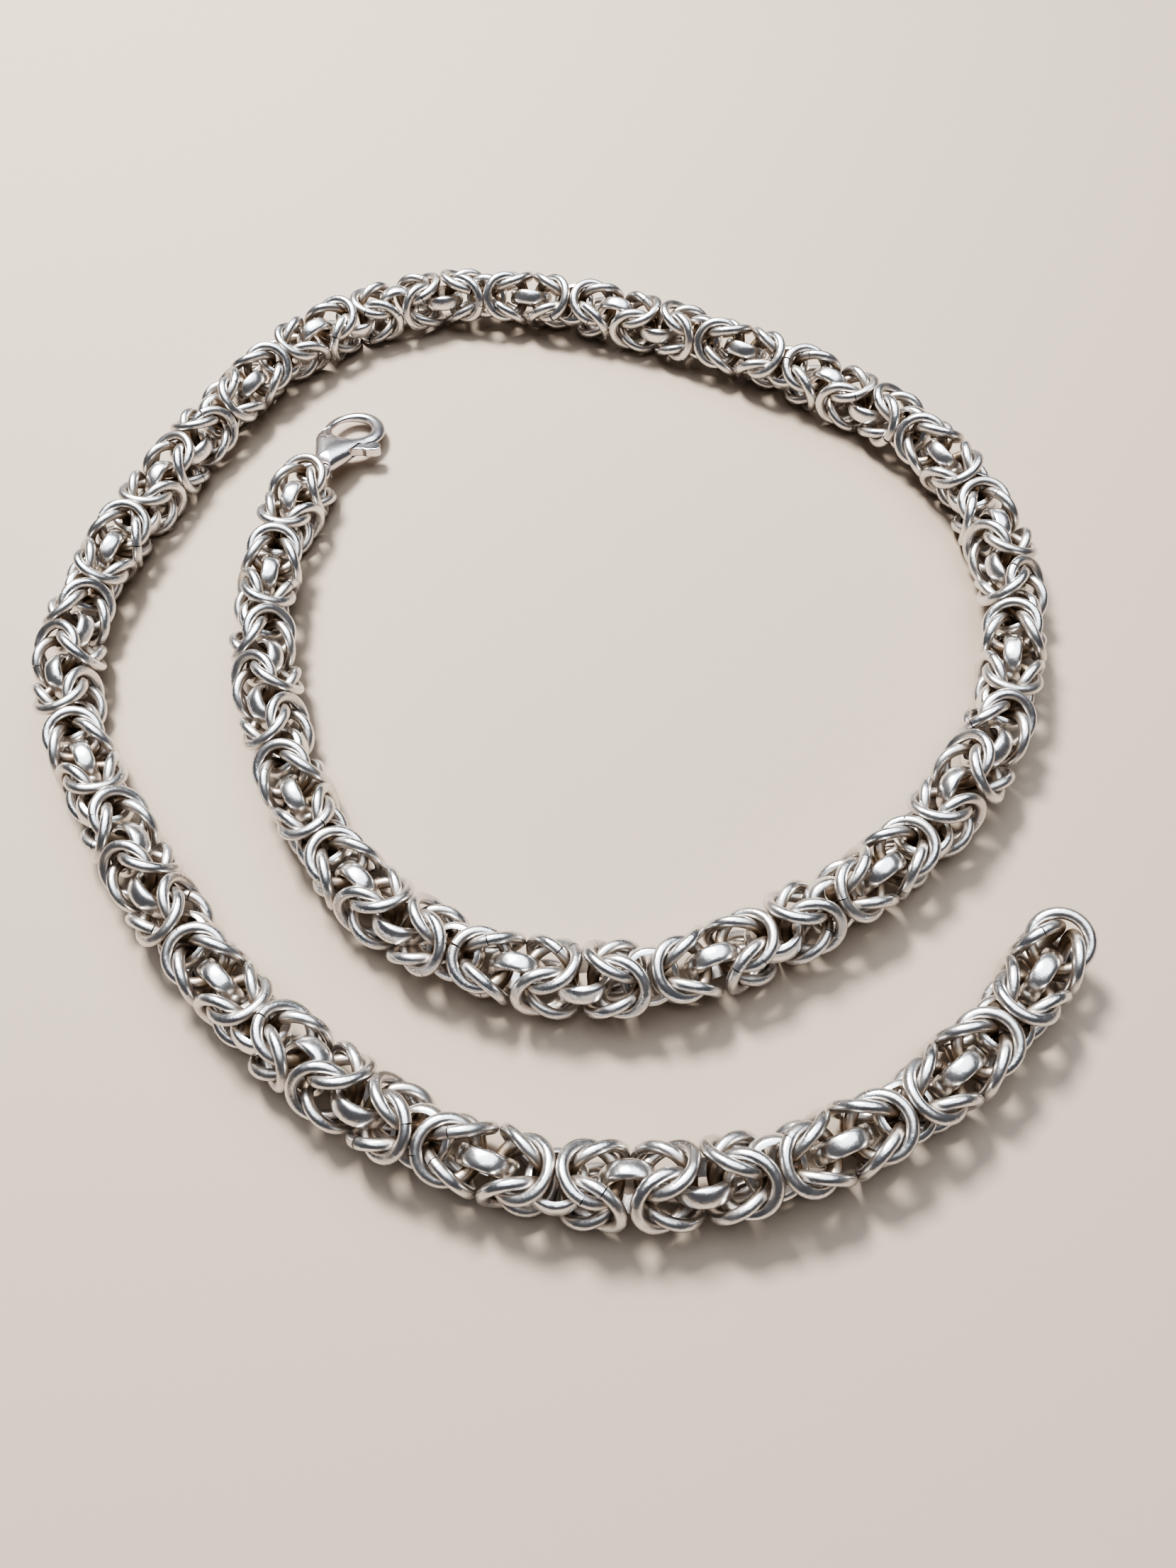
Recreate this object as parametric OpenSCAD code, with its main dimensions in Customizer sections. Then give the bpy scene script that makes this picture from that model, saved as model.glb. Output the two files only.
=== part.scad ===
// A king's braid chain necklace in round silver wire, unclasped and lying in an
// open loop and a half. Four rings make a knot, and one half-round ring joins
// each knot to the next. A clasp with a sprung lever closes the chain at one end.

/* [Chain] */
// Diameter of the round wire in the small rings
wire = 1.2; // [1.15:0.01:1.2]
// Inside diameter of a small ring
ring_bore = 4.25; // [4.2:0.01:4.3]
// Length of chain that one knot takes up
pitch = 6.5; // [6.5:0.01:6.55]
// Inside diameter of a half-round joining ring
joiner_bore = 3.84; // [3.8:0.01:3.9]
// Width of the half-round wire, twice its height
joiner_wire = 1.7; // [1.5:0.05:1.7]
// Knots in one stretch of chain
stretch_knots = 4; // [4:1:4]
// Stretches of chain from the bare end to the clasp
stretches = 19; // [19:1:19]

/* [Clasp] */
// Thickness of the clasp at its neck, before it tapers to its tip
clasp_thick = 3.3; // [3.2:0.1:3.4]
// Inside diameter of the clasp's eye
eye_bore = 2.7; // [2.6:0.05:2.8]
// Inside diameter of the hook
hook_bore = 5.2; // [5:0.1:5.3]
// Thickness of the lever where it turns in the clasp's slot
lever_thick = 1.2; // [1:0.05:1.2]
// Diameter of the rivet that the lever turns on
rivet = 0.8; // [0.7:0.05:0.9]

/* [Hidden] */
silver = [0.78, 0.78, 0.8];
bright_silver = [0.88, 0.88, 0.9];
round_fn = 96;
// How far each small ring leans out from the line of the chain
ring_lean = 24.4;
// Centre of a small ring: along the chain from its knot, and out from the line
ring_along = 0.17 * wire;
ring_out = 1.42 * wire;
ring_mean = (ring_bore + wire) / 2;
// Middle of the wire where the two rings of a pair are closest
closed_along = ring_along - ring_mean * cos(ring_lean);
closed_out = ring_out - ring_mean * sin(ring_lean);
// Where the rings of a pair are widest, measured out from the line
spread_out = closed_out + 2 * ring_mean * sin(ring_lean);
joiner_height = joiner_wire / 2;
// What keeps two stretches apart: the last joining ring sits further on, the
// next pair further back, and the rings that face each other lean a little more
joiner_shift = 0.3;
pair_shift = 0.1;
end_ease = 0.15;
// Middle of the box round the whole chain as the route has it, and the lift
// that puts its lowest ring on the table
box_middle = [0.206, -0.168];
lift = 0.353;

// Corners that the chain's line is drawn round, from its bare end to the clasp
route = [
    [57, -29.5], [50, -42.5], [40.5, -52.5], [29, -60], [15.5, -63.5], [2, -63.5],
    [-11, -59], [-22.5, -51.5], [-32.5, -42], [-40.5, -31], [-47.5, -19.5], [-54, -7],
    [-56, 6], [-52.5, 19.5], [-46.5, 32], [-40, 44], [-31.5, 55], [-20, 62.5],
    [-6.5, 64], [7, 59.5], [19, 53.5], [30.5, 46], [41, 37.5], [50.5, 27.5],
    [55.5, 15], [56, 1], [52.5, -12.5], [45.5, -24.5], [35.5, -33.5], [23.5, -40],
    [10, -44.5], [-3.5, -43], [-16, -36.5], [-24.5, -26], [-29.5, -13], [-32.5, 0.5],
    [-32.5, 14], [-29.5, 27.5], [-22, 38.5], [-9, 47]
];
// How far the chain has turned about its own line, by some of its joining rings
turn = [
    [0, 0], [5, -10], [11, -115], [20, -259], [22, -288], [24, -318.5], [31, -420],
    [37, -492], [46, -660], [57, -915], [66, -1160], [68, -1182], [70, -1202],
    [72, -1226], [76, -1270]
];

// A smooth curve drawn between the corners, and the distance walked along it
steps = 8;
function drawn(i, t) =
    (pow(1 - t, 3) * route[i]
     + (3 * pow(t, 3) - 6 * t * t + 4) * route[i + 1]
     + (1 + 3 * t + 3 * t * t - 3 * pow(t, 3)) * route[i + 2]
     + pow(t, 3) * route[i + 3]) / 6;
line = [for (i = [0:len(route) - 4], j = [0:steps - 1]) drawn(i, j / steps) - box_middle];
function leg(i) = i < len(line) ? norm(line[i] - line[i - 1]) : 0;
walked = [for (i = 0, d = 0; i < len(line); i = i + 1, d = d + leg(i)) d];
line_x = [for (i = [0:len(line) - 1]) [walked[i], line[i].x]];
line_y = [for (i = [0:len(line) - 1]) [walked[i], line[i].y]];

// Place, heading, bend and turn of the chain, a number of knots from its bare end
function place(u) = [lookup(u * pitch, line_x), lookup(u * pitch, line_y)];
function heading(u) =
    let (step = place(u + 0.5) - place(u - 0.5)) atan2(step.y, step.x);
function bend(u) =
    let (b = heading(u + 0.5) - heading(u - 0.5)) b > 180 ? b - 360 : b < -180 ? b + 360 : b;
function turned(u) = lookup(u, turn);
function is_stretch_end(u) = u % stretch_knots == 0;

// Height of the chain's line at which its lowest ring just meets the table
function ring_reach(a) =
    ring_mean * sqrt(1 - pow(cos(ring_lean) * sin(a), 2)) - ring_out * sin(a) + wire / 2;
function rest_height(u) = lift + max([for (k = [0:3]) ring_reach(turned(u) + 90 * k)]);

module at_station(u, roll) {
    translate([place(u).x, place(u).y, rest_height(u)])
        rotate([roll, 0, heading(u)])
            children();
}

// One small ring of round wire, standing across the Y axis
module ring() {
    rotate([90, 0, 0])
        rotate_extrude($fn = round_fn)
            translate([ring_mean, 0])
                circle(d = wire, $fn = round_fn);
}

// How far a bend pushes back the open side of a ring on the inside of it, where
// across is how much of the way out from the line points left
function push(bent, across) = 0.45 * spread_out * max(0, across * bent * PI / 180);

// Two rings side by side, closest where the joining ring holds them, and leant
// further out by a push on their open side
module ring_pair(bent, across, ease) {
    for (side = [-1, 1]) {
        back = push(bent, side * across) + ease;
        lean = acos(cos(ring_lean) - back / (2 * ring_mean));
        translate([
            closed_along + ring_mean * cos(lean),
            side * (closed_out + ring_mean * sin(lean)),
            0
        ])
            rotate([0, 0, side * lean])
                ring();
    }
}

// Two pairs through each other, the second turned back over the first
module knot(k) {
    roll = 90 * k + turned(k + 0.5);
    at_station(k + 0.5, roll) {
        translate([is_stretch_end(k) ? -pair_shift : 0, 0, 0])
            ring_pair(bend(k + 1), cos(roll), is_stretch_end(k + 1) ? end_ease : 0);
        rotate(a = 180, v = [0, 1, 1])
            ring_pair(bend(max(k, 1)), -sin(roll), is_stretch_end(k) ? end_ease : 0);
    }
}

// Half-round ring that holds one knot to the next
module joiner(u) {
    ends = is_stretch_end(u);
    at_station(u, 90 * u + turned(ends ? u + 0.5 : u))
        translate([ends ? joiner_shift : 0, 0, 0])
            rotate_extrude($fn = round_fn)
                intersection() {
                    translate([joiner_bore / 2, 0])
                        circle(r = joiner_height, $fn = round_fn);
                    translate([joiner_bore / 2, -joiner_height])
                        square([joiner_height * 1.1, joiner_wire]);
                }
}

// A few knots of chain with the joining ring after each
module chain_stretch(s) {
    first = (s - 1) * stretch_knots;
    color(silver) {
        for (k = [0:stretch_knots - 1]) knot(first + k);
        for (k = [1:stretch_knots])
            if (first + k < stretches * stretch_knots) joiner(first + k);
    }
}

// The clasp is drawn flat, with the middle of its eye on the origin and its tip
// along X. It lies on the table at its tip and hangs from the last pair by its eye.
clasp_station = 75.82;
clasp_heading = 62;
clasp_dip = 10.6;
eye_wire = 0.9;
eye_mean = (eye_bore + eye_wire) / 2;
// The outline is two round ends, one behind and left of the other, and two straight
// sides that meet them at these angles and run back to the neck
head = [10.75, 0.3];
head_radius = 4.15;
head_side = -118;
bulge = [8.3, 0.7];
bulge_radius = 3.55;
bulge_side = 120;
neck_left = [1.8, 0.95];
neck_right = [1.8, -1.6];
neck_inset = 0.3;
neck_bite = 0.8;
hook = [10.7, 0.65];
dome = 12;
taper = 2;
// The lever turns here. Its gate fills the mouth of the hook, on the left, with a
// gap at each end, and its tail comes out on the right with a pad for the thumb.
pivot = [6, -0.6];
gate_start = 2.6;
gate_end = 5.3;
gate_from = 42;
gate_to = 74;
swing = 25;
// The mouth and the slot are cut a little wider than the gate and what it sweeps
mouth_from = 6;
slot_from = 14;
mouth_to = 76.5;
beyond = 10;
web_from = 48;
web_to = 68;
web_bite = 0.4;
gap = 0.12;
pin_gap = 0.05;
gate_thick = clasp_thick - 0.4;
lever_hub = 1.1;
tail_angle = -60;
tail_half = 0.55;
pad_start = 3.2;
pad_end = 5.1;
pad_half = 0.85;
pad_corner = 0.4;
// The pad's edge on the hook's side starts further out, clear of the clasp's side
pad_lead = 4.1;
lead_slope = 0.6;

module at_clasp() {
    translate([place(clasp_station).x, place(clasp_station).y, rest_height(clasp_station)])
        rotate([0, clasp_dip, clasp_heading])
            children();
}

// A point on a round end
function rim(centre, radius, angle) = centre + radius * [cos(angle), sin(angle)];

module clasp_outline() {
    translate(head) circle(r = head_radius, $fn = round_fn);
    translate(bulge) circle(r = bulge_radius, $fn = round_fn);
    polygon([
        neck_right, rim(head, head_radius, head_side), head,
        bulge, rim(bulge, bulge_radius, bulge_side), neck_left
    ]);
}

// A slab of the clasp between two long domed faces that draw together at the tip
module domed(thick) {
    intersection() {
        translate([0, 0, -thick / 2])
            linear_extrude(height = thick)
                children();
        for_face(1);
        for_face(-1);
    }
}
module for_face(face) {
    translate([0, 0, -face * (dome - clasp_thick / 2)])
        rotate([0, 90 + face * taper, 0])
            cylinder(r = dome, h = 18, $fn = round_fn);
}

// A wedge of a ring about the lever's pivot, between two angles
module sector(inner, outer, from, to) {
    translate(pivot)
        difference() {
            intersection() {
                circle(r = outer, $fn = round_fn);
                polygon([
                    [0, 0],
                    2 * beyond * [cos(from), sin(from)],
                    2 * beyond * [cos((from + to) / 2), sin((from + to) / 2)],
                    2 * beyond * [cos(to), sin(to)]
                ]);
            }
            if (inner > 0) circle(r = inner, $fn = round_fn);
        }
}

// A straight bar out from the lever's pivot
module bar(half, length, angle) {
    translate(pivot)
        rotate(angle)
            translate([0, -half])
                square([length, 2 * half]);
}

// The clasp in one piece with its rivet: eye, slotted body and open hook
module clasp_body() {
    color(bright_silver)
        at_clasp() {
            difference() {
                domed(clasp_thick)
                    difference() {
                        clasp_outline();
                        translate(hook) circle(d = hook_bore, $fn = round_fn);
                        sector(gate_start - gap, gate_end + gap, mouth_from, mouth_to);
                    }
                translate([0, 0, -lever_thick / 2 - gap])
                    linear_extrude(height = lever_thick + 2 * gap) {
                        translate(pivot) circle(r = lever_hub + gap, $fn = round_fn);
                        sector(0, gate_start + gap, slot_from, mouth_to);
                        sector(0, beyond, tail_angle - swing, tail_angle);
                        bar(tail_half + gap, beyond, tail_angle);
                        bar(tail_half + gap, beyond, tail_angle - swing);
                    }
            }
            translate([pivot.x, pivot.y, -lever_thick / 2 - 2 * gap])
                cylinder(d = rivet, h = lever_thick + 4 * gap, $fn = round_fn);
            rotate_extrude($fn = round_fn)
                translate([eye_mean, 0])
                    circle(d = eye_wire, $fn = round_fn);
            translate([eye_mean, neck_right.y + neck_inset, -eye_wire / 2])
                cube([neck_bite, neck_left.y - neck_right.y - 2 * neck_inset, eye_wire]);
        }
}

// The sprung lever: a hub on the rivet, a gate across the mouth and a thumb pad
module clasp_lever() {
    color(bright_silver)
        at_clasp()
            difference() {
                union() {
                    domed(gate_thick)
                        difference() {
                            intersection() {
                                clasp_outline();
                                sector(gate_start, gate_end, gate_from, gate_to);
                            }
                            translate(hook) circle(d = hook_bore, $fn = round_fn);
                        }
                    translate([0, 0, -lever_thick / 2])
                        linear_extrude(height = lever_thick) {
                            translate(pivot) circle(r = lever_hub, $fn = round_fn);
                            sector(0, gate_start + web_bite, web_from, web_to);
                            bar(tail_half, pad_end, tail_angle);
                            translate(pivot)
                                rotate(tail_angle)
                                    polygon([
                                        [pad_start - pad_corner, -tail_half],
                                        [pad_start, -pad_half],
                                        [pad_end - pad_corner, -pad_half],
                                        [pad_end, pad_corner - pad_half],
                                        [pad_end, pad_half - pad_corner],
                                        [pad_end - pad_corner, pad_half],
                                        [pad_lead, pad_half],
                                        [pad_lead - lead_slope, tail_half]
                                    ]);
                        }
                }
                translate([pivot.x, pivot.y, -lever_thick])
                    cylinder(d = rivet + 2 * pin_gap, h = 2 * lever_thick, $fn = round_fn);
            }
}

function stretch_name(s) = str("chain_stretch_", s < 10 ? "0" : "", s);
for (s = [1:stretches])
    chain_stretch(s);
clasp_body();
clasp_lever();
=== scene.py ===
"""The looks of a silver king's braid chain necklace.

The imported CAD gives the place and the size. This script lays every ring of the
chain along the same line as the CAD does, lets the rings settle against each other
as loose rings do, and makes the clasp's two pieces smooth, as a polished casting is.
"""

import logging
import math
from dataclasses import dataclass, field
from enum import Enum
from typing import Iterator

import bmesh
import bpy
import numpy as np
from bmesh.types import BMesh
from bpy.types import ID, Material, Mesh, Node, NodeSocket, NodeTree, Object
from mathutils import Matrix, Vector


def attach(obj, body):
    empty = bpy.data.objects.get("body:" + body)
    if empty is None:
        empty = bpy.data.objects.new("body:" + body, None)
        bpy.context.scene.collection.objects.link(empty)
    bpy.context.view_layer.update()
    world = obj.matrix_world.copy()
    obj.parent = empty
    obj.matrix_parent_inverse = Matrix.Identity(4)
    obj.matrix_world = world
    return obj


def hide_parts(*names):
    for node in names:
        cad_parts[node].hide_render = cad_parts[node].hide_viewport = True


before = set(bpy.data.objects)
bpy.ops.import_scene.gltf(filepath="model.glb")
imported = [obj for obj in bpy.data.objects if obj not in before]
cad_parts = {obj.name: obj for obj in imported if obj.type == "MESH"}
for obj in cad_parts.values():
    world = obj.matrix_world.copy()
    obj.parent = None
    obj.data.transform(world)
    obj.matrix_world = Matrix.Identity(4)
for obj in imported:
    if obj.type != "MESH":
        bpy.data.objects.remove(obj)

log = logging.getLogger("necklace")
MM = 0.001
SAME_POINT = 0.001 * MM
# Attribute that holds how much painted shade each point of the chain gets.
PAINTED_SHADE_DEPTH = "painted_shade_depth"
UP = Vector((0, 0, 1))
Couple = tuple[float, float]
Triple = tuple[float, float, float]


def shown(name: str, data: ID) -> Object:
    """Puts a new object in the scene.

    Args:
        name: The object's name.
        data: Its mesh, light or camera.

    Returns:
        The object.
    """
    made = bpy.data.objects.new(name, data)
    bpy.context.scene.collection.objects.link(made)
    return made


def applied(piece: Object) -> Mesh:
    """Returns a plain mesh of a piece with its modifiers applied."""
    depsgraph = bpy.context.evaluated_depsgraph_get()
    return bpy.data.meshes.new_from_object(piece.evaluated_get(depsgraph), depsgraph=depsgraph)


def finished(name: str, shape: BMesh) -> Mesh:
    """Makes a mesh of an edited shape, and frees the shape.

    Args:
        name: The mesh's name.
        shape: The edited shape.

    Returns:
        The mesh.
    """
    mesh = bpy.data.meshes.new(name)
    shape.to_mesh(mesh)
    shape.free()
    return mesh


@dataclass
class NodeGraph:
    """A node tree that is built one node at a time.

    Attributes:
        tree: The tree that nodes are added to.
    """

    tree: NodeTree

    def fill(self, node: Node, inputs: dict[str | int, object]) -> None:
        """Fills a node's inputs.

        Args:
            node: The node.
            inputs: A value, or the socket to join, for each input by name or number.
        """
        for name, value in inputs.items():
            if isinstance(value, NodeSocket):
                self.tree.links.new(value, node.inputs[name])
            else:
                node.inputs[name].default_value = value

    def add(
        self, kind: str, inputs: dict[str | int, object] | None = None, **settings: object
    ) -> Node:
        """Adds a node.

        Args:
            kind: The node's type.
            inputs: What its inputs are filled with.
            settings: Attributes that it is given before its inputs are filled.

        Returns:
            The new node.
        """
        node = self.tree.nodes.new(kind)
        for name, value in settings.items():
            setattr(node, name, value)
        self.fill(node, inputs or {})
        return node

    def mix(self, factor: NodeSocket, first: object, second: object, kind: str) -> NodeSocket:
        """Adds a node that mixes two values or colours, and returns what it gives."""
        inputs = {"Factor": factor, "A": first, "B": second}
        return self.add("ShaderNodeMix", inputs, data_type=kind).outputs["Result"]


class LinkKind(Enum):
    """The two sorts of ring that the chain is made of."""

    SMALL_RING = "small ring"
    JOINER = "joining ring"


class Slot(Enum):
    """Names for the necklace's two sorts of silver."""

    CHAIN = "chain_silver"
    CLASP = "clasp_silver"


class LightKind(Enum):
    """The sorts of light in the studio, by the renderer's names."""

    NEAR = "AREA"
    FAR = "SUN"


@dataclass(frozen=True)
class SilverFinish:
    """Solid silver with a fine drawn or tumbled surface.

    Attributes:
        name: The material's name.
        shade: Colour of the clean metal.
        worn_shade: Colour where the surface has dulled.
        roughness: How blurred its reflections are where it is smoothest.
        worn_roughness: How blurred they are where it has dulled.
        grain: Size of the dull patches, in metres.
        dents: Depth of the shallow dents, in metres.
        dent_size: Width of the shallow dents, in metres.
        painted_recess_shade: Painted shade deep in the weave: the darker, warm brown colour that the
            silver is mixed towards there.
        tucked_roughness: How blurred its reflections are there.
        dulling: Least and most of the patches' noise between which it dulls.
        patch_detail: How ragged the dull patches are.
        dent_detail: How ragged the dents are.
    """

    name: str
    shade: Triple
    worn_shade: Triple
    roughness: float
    worn_roughness: float
    grain: float
    dents: float
    dent_size: float
    # Painted shade deep in the weave: a dark warm brown.
    painted_recess_shade: Triple = (0.30, 0.23, 0.17)
    tucked_roughness: float = 0.5
    dulling: Couple = (0.35, 0.65)
    patch_detail: float = 4.0
    dent_detail: float = 2.0

    def material(self) -> Material:
        """Builds the material's nodes.

        Returns:
            The material.
        """
        made = bpy.data.materials.new(self.name)
        made.use_nodes = True
        graph = NodeGraph(made.node_tree)
        place = graph.add("ShaderNodeTexCoord").outputs["Object"]
        painted_shade_depth = graph.add("ShaderNodeAttribute", attribute_name=PAINTED_SHADE_DEPTH).outputs["Fac"]
        patches, dents = (
            graph.add(
                "ShaderNodeTexNoise", {"Vector": place, "Scale": 1.0 / size, "Detail": detail}
            ).outputs["Fac"]
            for size, detail in ((self.grain, self.patch_detail), (self.dent_size, self.dent_detail))
        )
        shade = graph.mix(patches, (*self.shade, 1.0), (*self.worn_shade, 1.0), "RGBA")
        # Painted shade: the colour is darkened and browned deep in the weave.
        painted_shade = graph.mix(painted_shade_depth, shade, (*self.painted_recess_shade, 1.0), "RGBA")
        rough = graph.add(
            "ShaderNodeMapRange",
            {
                "Value": patches,
                "From Min": self.dulling[0],
                "From Max": self.dulling[1],
                "To Min": self.roughness,
                "To Max": self.worn_roughness,
            },
        )
        dull = graph.mix(painted_shade_depth, rough.outputs["Result"], self.tucked_roughness, "FLOAT")
        bump = graph.add(
            "ShaderNodeBump", {"Height": dents, "Strength": 1.0, "Distance": self.dents}
        )
        normal = bump.outputs["Normal"]
        graph.fill(
            made.node_tree.nodes["Principled BSDF"],
            {"Metallic": 1.0, "Base Color": painted_shade, "Roughness": dull, "Normal": normal},
        )
        return made


RING_SILVER = SilverFinish(
    name="satin ring silver",
    shade=(0.93, 0.93, 0.94),
    worn_shade=(0.68, 0.65, 0.62),
    roughness=0.21,
    worn_roughness=0.33,
    grain=1.6 * MM,
    dents=0.03 * MM,
    dent_size=0.5 * MM,
)
JOINER_SILVER = SilverFinish(
    name="smooth joiner silver",
    shade=(0.97, 0.96, 0.96),
    worn_shade=(0.88, 0.87, 0.87),
    roughness=0.19,
    worn_roughness=0.32,
    grain=2.2 * MM,
    dents=0.06 * MM,
    dent_size=1.1 * MM,
    # A milder painted shade deep in the weave for the joining rings.
    painted_recess_shade=(0.80, 0.77, 0.74),
    tucked_roughness=0.28,
)
CLASP_SILVER = SilverFinish(
    name="polished clasp silver",
    shade=(0.84, 0.81, 0.82),
    worn_shade=(0.70, 0.66, 0.66),
    roughness=0.19,
    worn_roughness=0.27,
    grain=3.0 * MM,
    dents=0.02 * MM,
    dent_size=1.4 * MM,
)


@dataclass
class ChainLine:
    """The line that the chain lies on, and how it turns about that line.

    Attributes:
        pitch: Length of chain that one knot takes up.
        route: Corners that the line is drawn round, in millimetres as in the CAD.
        turn: Joining rings and the turn there, in degrees.
        box_middle: Middle of the box round the chain as the route has it.
        steps: Pieces of line between two corners.
        line: Points of the smooth line.
        walked: Distance along the line at each of those points.
    """

    pitch: float = 6.5 * MM
    route: tuple[Couple, ...] = (
        (57, -29.5), (50, -42.5), (40.5, -52.5), (29, -60), (15.5, -63.5), (2, -63.5),
        (-11, -59), (-22.5, -51.5), (-32.5, -42), (-40.5, -31), (-47.5, -19.5), (-54, -7),
        (-56, 6), (-52.5, 19.5), (-46.5, 32), (-40, 44), (-31.5, 55), (-20, 62.5),
        (-6.5, 64), (7, 59.5), (19, 53.5), (30.5, 46), (41, 37.5), (50.5, 27.5),
        (55.5, 15), (56, 1), (52.5, -12.5), (45.5, -24.5), (35.5, -33.5), (23.5, -40),
        (10, -44.5), (-3.5, -43), (-16, -36.5), (-24.5, -26), (-29.5, -13), (-32.5, 0.5),
        (-32.5, 14), (-29.5, 27.5), (-22, 38.5), (-9, 47),
    )
    turn: tuple[Couple, ...] = (
        (0, 0), (5, -10), (11, -115), (20, -259), (22, -288), (24, -318.5), (31, -420),
        (37, -492), (46, -660), (57, -915), (66, -1160), (68, -1182), (70, -1202),
        (72, -1226), (76, -1270),
    )
    box_middle: Couple = (0.206, -0.168)
    steps: int = 8
    line: np.ndarray = field(init=False)
    walked: np.ndarray = field(init=False)

    def __post_init__(self) -> None:
        """Draws the smooth line and measures the distance along it."""
        corners = (np.array(self.route) - np.array(self.box_middle)) * MM
        drawn = []
        for a, b, c, d in zip(corners, corners[1:], corners[2:], corners[3:]):
            for step in range(self.steps):
                t = step / self.steps
                shares = (
                    (1 - t) ** 3,
                    3 * t**3 - 6 * t**2 + 4,
                    1 + 3 * t + 3 * t**2 - 3 * t**3,
                    t**3,
                )
                drawn.append(sum(share * at for share, at in zip(shares, (a, b, c, d))) / 6)
        self.line = np.array(drawn)
        legs = np.linalg.norm(np.diff(self.line, axis=0), axis=1)
        self.walked = np.concatenate([[0.0], np.cumsum(legs)])

    def place(self, knots: float) -> np.ndarray:
        """Returns the point a number of knots from the bare end."""
        walk = knots * self.pitch
        return np.array([np.interp(walk, self.walked, self.line[:, axis]) for axis in (0, 1)])

    def heading(self, knots: float) -> float:
        """Returns the way the line runs there, in radians."""
        step = self.place(knots + 0.5) - self.place(knots - 0.5)
        return math.atan2(step[1], step[0])

    def bend(self, knots: float) -> float:
        """Returns how far the heading changes over one knot, in radians."""
        change = self.heading(knots + 0.5) - self.heading(knots - 0.5)
        return (change + math.pi) % math.tau - math.pi

    def turned(self, knots: float) -> float:
        """Returns how far the chain has turned about its line, in radians."""
        stations, degrees = zip(*self.turn)
        return math.radians(float(np.interp(knots, stations, degrees)))


@dataclass
class Links:
    """A run of rings: where each is, which way it faces and which sort it is."""

    centres: np.ndarray
    axes: np.ndarray
    kinds: tuple[LinkKind, ...]
    stations: np.ndarray


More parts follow.
